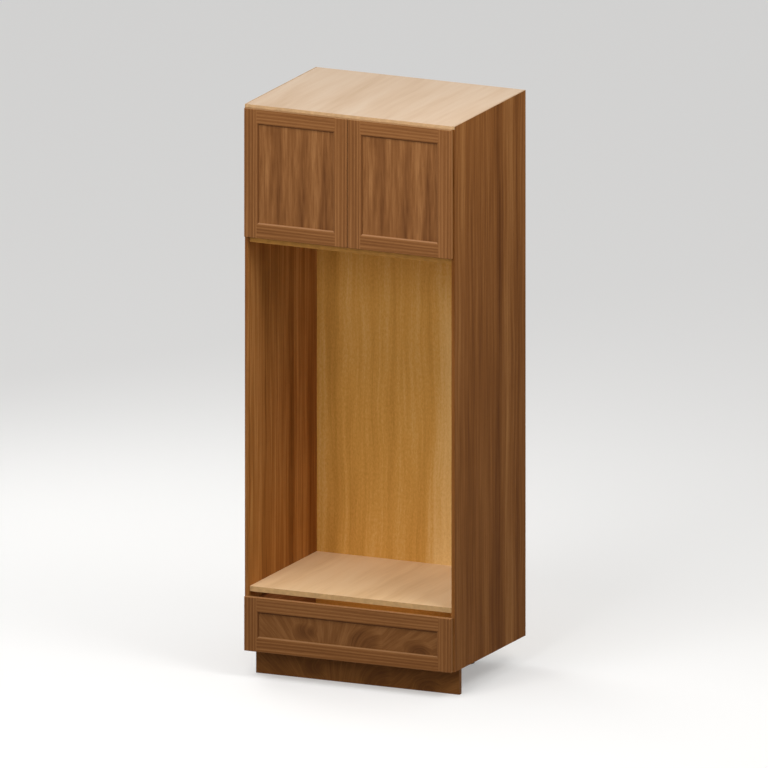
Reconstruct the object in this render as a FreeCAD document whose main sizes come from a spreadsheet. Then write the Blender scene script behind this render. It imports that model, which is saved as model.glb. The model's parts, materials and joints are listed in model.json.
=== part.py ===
# A tall frameless kitchen tower: two doors above an open niche, one drawer below, a recessed toe-kick.
# Millimetres. +Z is up, the front faces -Y, and the origin is on the floor under the middle of the box.
# The left half is modelled, and what repeats on the right is its mirror image.
import FreeCAD, Part
import math
import os
import Sketcher

driving = {
    # carcass
    "cabinet_width": 838.2,
    "carcass_depth": 618.0,
    "base_height": 101.6,
    "side_thickness": 12.7,
    "deck_thickness": 19.0,
    "drawer_bay_height": 197.4,
    "niche_height": 1287.0,
    "upper_bay_height": 480.0,
    "shelf_setback": 15.0,
    "housing_depth": 6.0,
    "housing_stop": 12.0,
    "shelf_tongue": 12.7,
    "back_thickness": 6.4,
    "back_groove_depth": 6.0,
    "nailer_thickness": 12.7,
    "nailer_height": 100.0,
    "wall_hole_spacing": 406.4,
    "wall_hole_radius": 2.5,
    "back_hole_radius": 3.0,
    # doors and drawer front
    "front_thickness": 19.0,
    "front_gap": 2.0,
    "front_side_reveal": 6.0,
    "door_middle_gap": 2.0,
    "door_top_reveal": 11.0,
    "door_foot_lift": 7.0,
    "drawer_front_lift": 1.0,
    "drawer_finger_gap": 13.4,
    "frame_width": 57.0,
    "sticking_step": 1.0,
    "sticking_ledge": 1.0,
    "sticking_radius": 6.0,
    "panel_thickness": 6.2,
    "panel_fit": 0.1,
    "panel_play": 0.8,
    "groove_depth": 10.0,
    "edge_ease": 2.5,
    # concealed hinges
    "hinge_from_end": 95.0,
    "cup_edge": 5.0,
    "cup_radius": 17.5,
    "cup_depth": 12.0,
    "cup_wall": 1.2,
    "cup_fit": 0.15,
    "flange_thickness": 1.2,
    "flange_width": 22.0,
    "flange_height": 60.0,
    "ear_offset": 5.5,
    "cup_screw_spacing": 48.0,
    "cup_pivot_in": 11.6,
    "cup_pivot_depth": 2.6,
    "arm_pivot_in": 23.6,
    "arm_floor_room": 1.1,
    "arm_nose_radius": 2.8,
    "arm_height": 14.6,
    "arm_length": 62.0,
    "arm_taper": 14.0,
    "arm_neck": 6.0,
    "arm_shoulder": 14.0,
    "link_height": 10.0,
    "link_half_width": 2.2,
    "link_side_play": 0.3,
    "link_end_play": 1.8,
    "lug_thickness": 3.6,
    "pin_radius": 1.25,
    "pin_running_fit": 0.06,
    "pin_press_fit": 0.01,
    "plate_thickness": 3.0,
    "plate_pedestal": 5.0,
    "plate_front": 20.0,
    "plate_length": 44.0,
    "plate_height": 15.0,
    "plate_wing_setback": 37.0,
    "plate_wing_width": 13.0,
    "plate_wing_height": 48.0,
    "plate_screw_spacing": 32.0,
    # drawer runners
    "runner_space": 12.7,
    "runner_height": 45.0,
    "runner_setback": 4.0,
    "runner_back_setback": 6.0,
    "runner_steel": 1.2,
    "runner_web_gap": 0.5,
    "runner_track_gap": 0.4,
    "runner_rail_tip_room": 4.2,
    "runner_middle_tip_room": 2.3,
    "runner_slide_tip_room": 2.1,
    "runner_screw_margin": 40.0,
    # drawer box
    "box_top_drop": 18.0,
    "box_back_room": 55.9,
    "box_thickness": 15.9,
    "box_housing": 6.0,
    "box_bottom_thickness": 6.4,
    "box_bottom_room": 3.3,
    "front_screw_spacing": 400.0,
    "front_screw_margin": 3.0,
    "front_screw_foot": 6.0,
    "front_screw_bite": 11.0,
    # screws
    "screw_radius": 1.75,
    "screw_head_radius": 3.4,
    "screw_head_height": 1.5,
    "screw_bite": 9.5,
    "side_screw_cover": 3.2,
    "screw_fit": 0.1,
    "screw_tip_room": 0.5,
    # levelling legs
    "leg_side_inset": 195.0,
    "leg_toe_gap": 6.0,
    "leg_back_inset": 90.0,
    "socket_flange_radius": 34.0,
    "socket_flange_thickness": 5.0,
    "socket_radius": 18.0,
    "socket_wall": 3.5,
    "socket_length": 60.0,
    "socket_roof": 8.0,
    "socket_screw_circle": 26.5,
    "foot_fit": 0.3,
    "foot_stem_room": 6.0,
    "foot_pad_radius": 30.0,
    "foot_pad_height": 8.0,
    # toe-kick
    "toe_setback": 70.0,
    "toe_thickness": 18.0,
    "toe_floor_gap": 1.0,
    "toe_top_gap": 0.5,
    "clip_wall": 3.0,
    "clip_fit": 0.1,
    "clip_height": 20.0,
    "clip_lift": 8.0,
    "clip_width": 20.0,
    "clip_mouth": 6.0,
    # how far a cutting tool reaches past the face that it enters
    "tool_reach": 2.0,
}


class Size:
    """A length with its number and the sheet expression that gives it."""

    def __init__(self, text, mm):
        self.text = text
        self.mm = mm

    def __add__(self, other):
        other = as_size(other)
        return Size(f"({self.text} + {other.text})", self.mm + other.mm)

    def __sub__(self, other):
        other = as_size(other)
        return Size(f"({self.text} - {other.text})", self.mm - other.mm)

    def __mul__(self, other):
        other = as_size(other)
        return Size(f"({self.text} * {other.text})", self.mm * other.mm)

    def __truediv__(self, other):
        other = as_size(other)
        return Size(f"({self.text} / {other.text})", self.mm / other.mm)

    def __neg__(self):
        return as_size(0) - self


def as_size(value):
    if isinstance(value, Size):
        return value
    return Size(f"({value})", float(value))


def root_of_squares(a, b):
    return Size(f"sqrt({a.text} * {a.text} + {b.text} * {b.text})", math.hypot(a.mm, b.mm))


class Sheet:
    """The driving sizes by name, each bound to its own cell."""


doc = FreeCAD.newDocument("kitchen_tower")
sheet = doc.addObject("Spreadsheet::Sheet", "dims")
d = Sheet()
for row, (alias, number) in enumerate(driving.items(), start=1):
    sheet.set(f"A{row}", alias)
    sheet.set(f"B{row}", str(number))
    sheet.setAlias(f"B{row}", alias)
    setattr(d, alias, Size(f"dims.{alias}", number))
doc.recompute()

nodes = {}


# Building blocks: every size and place below is an expression on the sheet.

def bind(obj, prop, size):
    obj.setExpression(prop, as_size(size).text)


def place(obj, point):
    for axis, size in zip("xyz", point):
        bind(obj, f"Placement.Base.{axis}", size)


def node(label, obj):
    obj.Label = label
    nodes[label] = obj
    return obj


def box(low, high):
    solid = doc.addObject("Part::Box", "Board")
    for prop, a, b in zip(("Length", "Width", "Height"), low, high):
        bind(solid, prop, as_size(b) - a)
    place(solid, low)
    return solid


def rod(centre, axis, low, high, radius, sides=0):
    """A cylinder, or a prism where sides are given, along one axis. low and high are from the centre."""
    turns = {
        "x": FreeCAD.Rotation(FreeCAD.Vector(0, 1, 0), 90),
        "y": FreeCAD.Rotation(FreeCAD.Vector(1, 0, 0), -90),
        "z": FreeCAD.Rotation(),
    }
    if sides:
        solid = doc.addObject("Part::Prism", "Peg")
        solid.Polygon = sides
        bind(solid, "Circumradius", radius)
    else:
        solid = doc.addObject("Part::Cylinder", "Rod")
        bind(solid, "Radius", radius)
    bind(solid, "Height", as_size(high) - low)
    solid.Placement = FreeCAD.Placement(FreeCAD.Vector(), turns[axis])
    start = list(centre)
    index = "xyz".index(axis)
    start[index] = as_size(start[index]) + low
    place(solid, start)
    return solid


def fuse(parts):
    if len(parts) == 1:
        return parts[0]
    solid = doc.addObject("Part::MultiFuse", "Joined")
    solid.Shapes = parts
    return solid


def cut(base, tools):
    solid = doc.addObject("Part::Cut", "Cut")
    solid.Base = base
    solid.Tool = fuse(tools)
    return solid


def common(a, b):
    solid = doc.addObject("Part::Common", "Trimmed")
    solid.Base = a
    solid.Tool = b
    return solid


def group(parts):
    set_of = doc.addObject("Part::Compound", "Set")
    set_of.Links = parts
    return set_of


def mirror(source):
    copy = doc.addObject("Part::Mirroring", "Mirrored")
    copy.Source = source
    copy.Base = FreeCAD.Vector(0, 0, 0)
    copy.Normal = FreeCAD.Vector(1, 0, 0)
    return copy


def fix_point(sketch, edge, end, point, axes):
    for axis, size in zip("XY", point):
        if axis in axes:
            size = as_size(size)
            rule = Sketcher.Constraint(f"Distance{axis}", -1, 1, edge, end, size.mm)
            index = sketch.addConstraint(rule)
            sketch.setExpression(f"Constraints[{index}]", size.text)


def flat(point):
    return FreeCAD.Vector(as_size(point[0]).mm, as_size(point[1]).mm, 0)


def outline(body, role, points, arcs):
    """A closed sketch through the points. arcs gives the centre of each edge that is an arc, by index."""
    plane = next(f for f in body.Origin.OriginFeatures if f.Role == role)
    sketch = body.newObject("Sketcher::SketchObject", "Outline")
    sketch.AttachmentSupport = [(plane, "")]
    sketch.MapMode = "FlatFace"
    following = points[1:] + points[:1]
    for i, (here, there) in enumerate(zip(points, following)):
        p = flat(here)
        q = flat(there)
        if i in arcs:
            c = flat(arcs[i])
            first = math.atan2(p.y - c.y, p.x - c.x)
            last = math.atan2(q.y - c.y, q.x - c.x)
            if last <= first:
                last += 2 * math.pi
            circle = Part.Circle(c, FreeCAD.Vector(0, 0, 1), (p - c).Length)
            sketch.addGeometry(Part.ArcOfCircle(circle, first, last))
        else:
            sketch.addGeometry(Part.LineSegment(p, q))
    for i in range(len(points)):
        sketch.addConstraint(Sketcher.Constraint("Coincident", i, 2, (i + 1) % len(points), 1))
    for i, point in enumerate(points):
        fix_point(sketch, i, 1, point, "XY")
    for i, centre in arcs.items():
        chord = flat(following[i]) - flat(points[i])
        free = "Y" if abs(chord.x) > abs(chord.y) else "X"
        fix_point(sketch, i, 3, centre, free)
    return sketch


def padded(role, points, length, base, arcs=None):
    """A profile drawn on one of the body's planes and padded along that plane's normal."""
    body = doc.addObject("PartDesign::Body", "Body")
    pad = body.newObject("PartDesign::Pad", "Pad")
    pad.Profile = outline(body, role, points, arcs or {})
    bind(pad, "Length", length)
    place(body, base)
    return body


# Small round pieces and their holes have a few flat sides, so that the many of them stay light.
screw_sides = 8
pin_sides = 8
pin_hole_sides = 12
back_hole_sides = 12
cup_sides = 20
leg_sides = 16


def screw(seat, axis, way, bite):
    """A pan-head screw: its head stands on the seat, and its shank runs the given way along the axis."""
    shank_ends = (0, bite) if way > 0 else (-bite, 0)
    head_ends = (-d.screw_head_height, 0) if way > 0 else (0, d.screw_head_height)
    shank = rod(seat, axis, *shank_ends, d.screw_radius, screw_sides)
    head = rod(seat, axis, *head_ends, d.screw_head_radius, screw_sides)
    return fuse([shank, head])


def screw_hole(seat, axis, way, bite):
    deep = bite + d.screw_tip_room
    ends = (-d.tool_reach, deep) if way > 0 else (-deep, d.tool_reach)
    return rod(seat, axis, *ends, d.screw_radius + d.screw_fit, screw_sides)


# Main planes, worked out from the driving sizes.

half_width = d.cabinet_width / 2
left = -half_width
inner_left = left + d.side_thickness
inner_right = -inner_left
front = (d.front_gap + d.front_thickness - d.carcass_depth) / 2
back = front + d.carcass_depth
back_panel_face = back - d.nailer_thickness - d.back_thickness
side_foot = d.base_height
bottom_top = side_foot + d.deck_thickness
drawer_bay_top = bottom_top + d.drawer_bay_height
niche_floor = drawer_bay_top + d.deck_thickness
upper_shelf_under = niche_floor + d.niche_height
upper_shelf_top = upper_shelf_under + d.deck_thickness
top_under = upper_shelf_top + d.upper_bay_height
top = top_under + d.deck_thickness
shelf_front = front + d.shelf_setback
fronts_back = front - d.front_gap
fronts_face = fronts_back - d.front_thickness
side_bite = d.side_thickness - d.side_screw_cover
panel_drop = d.sticking_step + d.sticking_radius
groove_width = d.panel_thickness + d.panel_fit * 2


# Doors and drawer front: five-piece frames with a moulded inner edge and a panel loose in its groove.

def frame_member(length, corner, turn):
    """A stile or rail. Its outer edge is on the corner, and the turn about Y points it round the frame."""
    width = d.frame_width
    ledge = width - d.sticking_radius - d.sticking_ledge
    points = [
        (0, 0),
        (ledge, 0),
        (ledge, d.sticking_step),
        (width - d.sticking_radius, d.sticking_step),
        (width, panel_drop),
        (width - d.groove_depth, panel_drop),
        (width - d.groove_depth, panel_drop + groove_width),
        (width, panel_drop + groove_width),
        (width, d.front_thickness),
        (0, d.front_thickness),
    ]
    ovolo = {3: (width - d.sticking_radius, panel_drop)}
    body = padded("XY_Plane", points, length, corner, ovolo)
    body.Placement = FreeCAD.Placement(
        body.Placement.Base, FreeCAD.Rotation(FreeCAD.Vector(0, 1, 0), turn)
    )
    return body


def eased_slab(x0, x1, z0, z1):
    """The front as one board with its front edges rounded, which trims the frame made inside it."""
    corners = [(x0, z0), (x1, z0), (x1, z1), (x0, z1)]
    body = padded("XZ_Plane", corners, d.front_thickness, (0, fronts_back, 0))
    doc.recompute()
    pad = body.Tip
    faces = pad.Shape.Faces
    face = min(range(len(faces)), key=lambda i: faces[i].CenterOfMass.y)
    ease = body.newObject("PartDesign::Fillet", "Ease")
    ease.Base = (pad, [f"Face{face + 1}"])
    bind(ease, "Radius", d.edge_ease)
    return body


def five_piece_front(name, x0, x1, z0, z1, stile_names, stile_tools, rail_tools):
    slab = eased_slab(x0, x1, z0, z1)
    height = z1 - z0
    reach = d.frame_width - d.groove_depth + d.panel_play
    rail_length = x1 - x0 - reach * 2
    stiles = [
        frame_member(height, (x0, fronts_face, z0), 0),
        frame_member(height, (x1, fronts_face, z1), 180),
    ]
    for stile, stile_name, tools in zip(stiles, stile_names, stile_tools):
        piece = common(slab, stile)
        node(f"{name}_{stile_name}", cut(piece, tools) if tools else piece)
    rails = {
        "top_rail": frame_member(rail_length, (x0 + reach, fronts_face, z1), 90),
        "bottom_rail": frame_member(rail_length, (x1 - reach, fronts_face, z0), -90),
    }
    for rail_name, rail in rails.items():
        node(f"{name}_{rail_name}", cut(common(slab, rail), stiles + rail_tools.get(rail_name, [])))
    face = fronts_face + panel_drop + d.panel_fit
    low = (x0 + reach, face, z0 + reach)
    high = (x1 - reach, face + d.panel_thickness, z1 - reach)
    node(f"{name}_panel", box(low, high))


door_left = left + d.front_side_reveal
door_right = -d.door_middle_gap / 2
door_top = top - d.door_top_reveal
door_foot = upper_shelf_top + d.door_foot_lift
hinge_heights = [door_foot + d.hinge_from_end, door_top - d.hinge_from_end]
cup_x = door_left + d.cup_edge + d.cup_radius
ear_x = cup_x + d.ear_offset
cup_floor = fronts_back - d.cup_depth
arm_nose_foot = cup_floor + d.cup_wall + d.arm_floor_room
arm_pivot = (inner_left + d.arm_pivot_in, arm_nose_foot + d.arm_nose_radius)
cup_pivot = (door_left + d.cup_pivot_in, fronts_back - d.cup_pivot_depth)
ear_seat = fronts_back + d.flange_thickness
ear_bite = d.screw_bite + d.flange_thickness


def ear_screw_seats(z):
    return [(ear_x, ear_seat, z + d.cup_screw_spacing * side / 2) for side in (-1, 1)]


def make_doors():
    bores = []
    for z in hinge_heights:
        mouth = (cup_x, fronts_back, z)
        bore_radius = d.cup_radius + d.cup_fit
        bores.append(rod(mouth, "y", -(d.cup_depth + d.cup_fit), d.tool_reach, bore_radius, cup_sides))
        bores += [screw_hole(seat, "y", -1, ear_bite) for seat in ear_screw_seats(z)]
    five_piece_front(
        "left_door", door_left, door_right, door_foot, door_top,
        ("hinge_stile", "lock_stile"), (bores, []), {},
    )
    for piece in ("hinge_stile", "lock_stile", "top_rail", "bottom_rail", "panel"):
        node(f"right_door_{piece}", mirror(nodes[f"left_door_{piece}"]))


def make_hinge_cup(z):
    """A pressed cup with a screwed flange, and two lugs inside that carry the link's pin."""
    mouth = (cup_x, fronts_back, z)
    shell = rod(mouth, "y", -d.cup_depth, 0, d.cup_radius, cup_sides)
    half = d.flange_height / 2
    flange = box(
        (ear_x - d.flange_width / 2, fronts_back, z - half),
        (ear_x + d.flange_width / 2, ear_seat, z + half),
    )
    hollow = rod(mouth, "y", d.cup_wall - d.cup_depth, d.tool_reach, d.cup_radius - d.cup_wall, cup_sides)
    pressed = cut(fuse([shell, flange]), [hollow])
    lugs = []
    lug_radius = d.cup_pivot_depth
    lug_start = d.link_height / 2 + d.link_side_play
    for side in (-1, 1):
        ends = [lug_start * side, (lug_start + d.lug_thickness) * side]
        ends.sort(key=lambda size: size.mm)
        lugs.append(box(
            (cup_pivot[0] - lug_radius, cup_floor, z + ends[0]),
            (cup_pivot[0] + lug_radius, fronts_back, z + ends[1]),
        ))
    reach = lug_start + d.lug_thickness + d.tool_reach
    pin_hole = rod((*cup_pivot, z), "z", -reach, reach, d.pin_radius + d.pin_running_fit, pin_hole_sides)
    holes = [screw_hole(seat, "y", -1, ear_bite) for seat in ear_screw_seats(z)]
    return cut(fuse([pressed, *lugs]), [pin_hole, *holes])


def make_hinge_arm(z):
    """The arm in plan: a round nose at the pivot, a neck, and a bar that sits on the plate."""
    x, y = arm_pivot
    r = d.arm_nose_radius
    seat = inner_left + d.plate_thickness + d.plate_pedestal
    end = front + d.arm_length
    points = [
        (x - r, y),
        (x + r, y),
        (x + r, end - d.arm_taper),
        (x - r, end),
        (seat, end),
        (seat, front + d.arm_shoulder),
        (x - r, front + d.arm_neck),
    ]
    half = d.arm_height / 2
    bar = padded("XY_Plane", points, d.arm_height, (0, 0, z - half), {0: arm_pivot})
    slot_half = d.link_height / 2 + d.link_side_play
    slot = box(
        (x - r - d.tool_reach, y - r - d.tool_reach, z - slot_half),
        (x + r + d.tool_reach, y + d.link_half_width + d.link_end_play, z + slot_half),
    )
    reach = half + d.tool_reach
    pin_hole = rod((x, y, z), "z", -reach, reach, d.pin_radius + d.pin_running_fit, pin_hole_sides)
    return cut(bar, [slot, pin_hole])


def make_hinge_link(z):
    """The link in plan: a slot shape from the arm's pivot to the cup's pivot, bored for both pins."""
    run = (cup_pivot[0] - arm_pivot[0], cup_pivot[1] - arm_pivot[1])
    length = root_of_squares(*run)
    off = (-run[1] / length * d.link_half_width, run[0] / length * d.link_half_width)
    points = [
        (arm_pivot[0] - off[0], arm_pivot[1] - off[1]),
        (cup_pivot[0] - off[0], cup_pivot[1] - off[1]),
        (cup_pivot[0] + off[0], cup_pivot[1] + off[1]),
        (arm_pivot[0] + off[0], arm_pivot[1] + off[1]),
    ]
    half = d.link_height / 2
    rounds = {1: cup_pivot, 3: arm_pivot}
    bar = padded("XY_Plane", points, d.link_height, (0, 0, z - half), rounds)
    reach = half + d.tool_reach
    radius = d.pin_radius + d.pin_press_fit
    pivots = (arm_pivot, cup_pivot)
    return cut(bar, [rod((*pivot, z), "z", -reach, reach, radius, pin_sides) for pivot in pivots])


def make_hinge_plate(z):
    """A cross-shaped plate with a pedestal that holds the arm off the side panel."""
    inside = inner_left + d.plate_thickness
    y0 = front + d.plate_front
    y1 = y0 + d.plate_length
    wing = front + d.plate_wing_setback
    half = d.plate_height / 2
    wing_half = d.plate_wing_height / 2
    base = box((inner_left, y0, z - half), (inside, y1, z + half))
    wings = box(
        (inner_left, wing - d.plate_wing_width / 2, z - wing_half),
        (inside, wing + d.plate_wing_width / 2, z + wing_half),
    )
    slim = d.arm_height / 2
    pedestal = box((inner_left, y0, z - slim), (inside + d.plate_pedestal, y1, z + slim))
    return cut(fuse([base, wings, pedestal]), [screw_hole(s, "x", -1, plate_bite) for s in plate_seats(z)])


plate_bite = d.plate_thickness + side_bite


def plate_seats(z):
    x = inner_left + d.plate_thickness
    y = front + d.plate_wing_setback
    return [(x, y, z + d.plate_screw_spacing * side / 2) for side in (-1, 1)]


def make_hinges():
    lug_end = d.link_height / 2 + d.link_side_play + d.lug_thickness
    arm_end = d.arm_height / 2
    pins = []
    cup_screws = []
    plate_screws = []
    for z in hinge_heights:
        pins.append(rod((*arm_pivot, z), "z", -arm_end, arm_end, d.pin_radius, pin_sides))
        pins.append(rod((*cup_pivot, z), "z", -lug_end, lug_end, d.pin_radius, pin_sides))
        cup_screws += [screw(seat, "y", -1, ear_bite) for seat in ear_screw_seats(z)]
        plate_screws += [screw(seat, "x", -1, plate_bite) for seat in plate_seats(z)]
    both_sides = {
        "hinge_cups": group([make_hinge_cup(z) for z in hinge_heights]),
        "hinge_arms": group([make_hinge_arm(z) for z in hinge_heights]),
        "hinge_links": group([make_hinge_link(z) for z in hinge_heights]),
        "hinge_pins": group(pins),
        "cup_screws": group(cup_screws),
    }
    for name, left_set in both_sides.items():
        node(f"left_{name}", left_set)
        node(f"right_{name}", mirror(left_set))
    plates = group([make_hinge_plate(z) for z in hinge_heights])
    node("hinge_plates", group([plates, mirror(plates)]))
    plate_screw_set = group(plate_screws)
    node("hinge_plate_screws", group([plate_screw_set, mirror(plate_screw_set)]))


# Drawer: a housed box on three-member runners, with the five-piece front screwed on from inside.

box_left = inner_left + d.runner_space
box_right = -box_left
drawer_front_foot = side_foot + d.drawer_front_lift
drawer_front_top = drawer_bay_top - d.drawer_finger_gap
screw_from_edge = d.frame_width - d.groove_depth - d.front_screw_margin
low_screws = drawer_front_foot + screw_from_edge
high_screws = drawer_front_top - screw_from_edge
box_foot = low_screws - d.front_screw_foot
box_top = drawer_front_top - d.box_top_drop
box_front = fronts_back
box_back = back_panel_face - d.box_back_room
box_bottom_foot = low_screws + d.screw_head_radius + d.box_bottom_room
box_bottom_top = box_bottom_foot + d.box_bottom_thickness
runner_middle = (box_foot + box_top) / 2
runner_front = front + d.runner_setback
runner_back = box_back - d.runner_back_setback
rail_web = inner_left + d.runner_steel
slide_web = box_left - d.runner_steel
rail_bite = d.runner_steel + side_bite
slide_bite = d.runner_steel + d.screw_bite


def runner_screw_seats(x):
    first = runner_front + d.runner_screw_margin
    last = runner_back - d.runner_screw_margin
    return [(x, y, runner_middle) for y in (first, (first + last) / 2, last)]


def channel(web, tip, height):
    """A rolled steel channel along the drawer's travel, from its web to the tips of its flanges."""
    wall = d.runner_steel if tip.mm > web.mm else -d.runner_steel
    low = runner_middle - height / 2
    high = runner_middle + height / 2
    points = [
        (web, low),
        (tip, low),
        (tip, low + d.runner_steel),
        (web + wall, low + d.runner_steel),
        (web + wall, high - d.runner_steel),
        (tip, high - d.runner_steel),
        (tip, high),
        (web, high),
    ]
    return padded("XZ_Plane", points, runner_back - runner_front, (0, runner_back, 0))


def make_runners():
    step = (d.runner_steel + d.runner_track_gap) * 2
    middle_web = rail_web + d.screw_head_height + d.runner_web_gap
    slide_tip = middle_web + d.runner_steel + d.runner_slide_tip_room
    rail = channel(inner_left, box_left - d.runner_rail_tip_room, d.runner_height)
    middle = channel(middle_web, box_left - d.runner_middle_tip_room, d.runner_height - step)
    slide = channel(box_left, slide_tip, d.runner_height - step * 2)
    rail_seats = runner_screw_seats(rail_web)
    slide_seats = runner_screw_seats(slide_web)
    rail = cut(rail, [screw_hole(seat, "x", -1, rail_bite) for seat in rail_seats])
    slide = cut(slide, [screw_hole(seat, "x", 1, slide_bite) for seat in slide_seats])
    for name, member in (("rail", rail), ("middle", middle), ("slide", slide)):
        node(f"left_runner_{name}", member)
        node(f"right_runner_{name}", mirror(member))
    rail_screws = group([screw(seat, "x", -1, rail_bite) for seat in rail_seats])
    slide_screws = group([screw(seat, "x", 1, slide_bite) for seat in slide_seats])
    node("runner_rail_screws", group([rail_screws, mirror(rail_screws)]))
    node("runner_slide_screws", group([slide_screws, mirror(slide_screws)]))


front_screw_bite = d.box_thickness + d.front_screw_bite


def front_screw_seats(z):
    y = box_front + d.box_thickness
    return [(d.front_screw_spacing * side / 2, y, z) for side in (-1, 1)]


def make_drawer_box():
    housed = box_left + d.box_thickness - d.box_housing
    side_inside = box_left + d.box_thickness
    back_face = box_back - d.box_thickness
    groove_front = box_front + d.box_thickness - d.box_housing
    past = side_inside + d.tool_reach
    side = cut(
        box((box_left, box_front, box_foot), (side_inside, box_back, box_top)),
        [
            box(
                (housed, box_front - d.tool_reach, box_foot - d.tool_reach),
                (past, box_front + d.box_thickness, box_top + d.tool_reach),
            ),
            box((housed, groove_front, box_bottom_foot), (past, box_back + d.tool_reach, box_bottom_top)),
            box((housed, back_face, box_bottom_top), (past, box_back + d.tool_reach, box_top + d.tool_reach)),
            *[screw_hole(seat, "x", 1, slide_bite) for seat in runner_screw_seats(slide_web)],
        ],
    )
    node("drawer_left_side", side)
    node("drawer_right_side", mirror(side))
    seats = front_screw_seats(low_screws) + front_screw_seats(high_screws)
    bottom_groove = box(
        (housed, groove_front, box_bottom_foot),
        (-housed, box_front + d.box_thickness + d.tool_reach, box_bottom_top),
    )
    front_board = box((housed, box_front, box_foot), (-housed, box_front + d.box_thickness, box_top))
    holes = [screw_hole(seat, "y", -1, front_screw_bite) for seat in seats]
    node("drawer_box_front", cut(front_board, [bottom_groove, *holes]))
    node("drawer_box_back", box((housed, back_face, box_bottom_top), (-housed, box_back, box_top)))
    node("drawer_bottom", box((housed, groove_front, box_bottom_foot), (-housed, box_back, box_bottom_top)))
    node("drawer_front_screws", group([screw(seat, "y", -1, front_screw_bite) for seat in seats]))


def make_drawer_front():
    holes = {"top_rail": front_screw_seats(high_screws), "bottom_rail": front_screw_seats(low_screws)}
    rail_tools = {
        name: [screw_hole(seat, "y", -1, front_screw_bite) for seat in seats]
        for name, seats in holes.items()
    }
    five_piece_front(
        "drawer_front", door_left, -door_left, drawer_front_foot, drawer_front_top,
        ("left_stile", "right_stile"), ([], []), rail_tools,
    )


# Carcass: thin sides, thick decks let into them, a grooved back with nailers behind it.

def make_sides():
    housed = inner_left - d.housing_depth
    past = inner_left + d.tool_reach
    tongue_front = front + d.housing_stop
    behind = back + d.tool_reach
    tools = [
        box((housed, tongue_front, top_under), (past, behind, top + d.tool_reach)),
        box((housed, tongue_front, side_foot - d.tool_reach), (past, behind, bottom_top)),
        *[
            box((housed, shelf_front, under), (past, back_panel_face, under + d.shelf_tongue))
            for under in (upper_shelf_under, drawer_bay_top)
        ],
        box(
            (inner_left - d.back_groove_depth, back_panel_face, bottom_top),
            (past, back_panel_face + d.back_thickness, top_under),
        ),
    ]
    for z in hinge_heights:
        tools += [screw_hole(seat, "x", -1, plate_bite) for seat in plate_seats(z)]
    tools += [screw_hole(seat, "x", -1, rail_bite) for seat in runner_screw_seats(rail_web)]
    side = cut(box((left, front, side_foot), (inner_left, back, top)), tools)
    node("left_side_panel", side)
    node("right_side_panel", mirror(side))


def full_deck(low, high, tools):
    """A top or bottom: as deep as the sides, with its front corners notched round the sides' edges."""
    housed = inner_left - d.housing_depth
    board = box((housed, front, low), (-housed, back, high))
    notch = box(
        (housed - d.tool_reach, front - d.tool_reach, low - d.tool_reach),
        (inner_left, front + d.housing_stop, high + d.tool_reach),
    )
    return cut(board, [notch, mirror(notch), *tools])


def shelf(low, high):
    """A fixed shelf between the sides, with a thinner tongue along its underside in their housings."""
    housed = inner_left - d.housing_depth
    board = box((inner_left, shelf_front, low), (inner_right, back_panel_face, high))
    tongue = box((housed, shelf_front, low), (-housed, back_panel_face, low + d.shelf_tongue))
    return fuse([board, tongue])


def wall_holes(z, radius, sides=0):
    reach = d.back_thickness + d.nailer_thickness + d.tool_reach
    places = [(d.wall_hole_spacing * side / 2, back, z) for side in (-1, 1)]
    return [rod(point, "y", -reach, d.tool_reach, radius, sides) for point in places]


def make_carcass():
    make_sides()
    socket_holes = [screw_hole(seat, "z", 1, socket_bite) for seat in socket_screw_seats()]
    node("top_panel", full_deck(top_under, top, []))
    node("bottom_panel", full_deck(side_foot, bottom_top, socket_holes))
    node("upper_shelf", shelf(upper_shelf_under, upper_shelf_top))
    node("niche_shelf", shelf(drawer_bay_top, niche_floor))
    upper_holes = top_under - d.nailer_height / 2
    lower_holes = bottom_top + d.nailer_height / 2
    grooved = inner_left - d.back_groove_depth
    board = box(
        (grooved, back_panel_face, bottom_top),
        (-grooved, back_panel_face + d.back_thickness, top_under),
    )
    clearance = []
    for z in (upper_holes, lower_holes):
        clearance += wall_holes(z, d.back_hole_radius, back_hole_sides)
    node("back_panel", cut(board, clearance))
    nailer_face = back - d.nailer_thickness
    upper = box((inner_left, nailer_face, top_under - d.nailer_height), (inner_right, back, top_under))
    lower = box((inner_left, nailer_face, bottom_top), (inner_right, back, bottom_top + d.nailer_height))
    node("top_nailer", cut(upper, wall_holes(upper_holes, d.wall_hole_radius)))
    node("bottom_nailer", cut(lower, wall_holes(lower_holes, d.wall_hole_radius)))


# Levelling legs under the bottom panel, and the toe-kick board clipped to the front pair.

leg_x = left + d.leg_side_inset
toe_face = front + d.toe_setback
toe_rear = toe_face + d.toe_thickness
front_leg_y = toe_rear + d.leg_toe_gap + d.socket_flange_radius
back_leg_y = back - d.leg_back_inset
leg_places = {
    "front_left": (leg_x, front_leg_y),
    "front_right": (-leg_x, front_leg_y),
    "back_left": (leg_x, back_leg_y),
    "back_right": (-leg_x, back_leg_y),
}
socket_mouth = side_foot - d.socket_length
flange_under = side_foot - d.socket_flange_thickness
socket_bite = d.socket_flange_thickness + d.screw_bite
socket_screw_turns = (90, 210, 330)


def socket_screw_seats():
    seats = []
    for x, y in leg_places.values():
        for turn in socket_screw_turns:
            dx = d.socket_screw_circle * round(math.cos(math.radians(turn)), 6)
            dy = d.socket_screw_circle * round(math.sin(math.radians(turn)), 6)
            seats.append((x + dx, y + dy, flange_under))
    return seats


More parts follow.
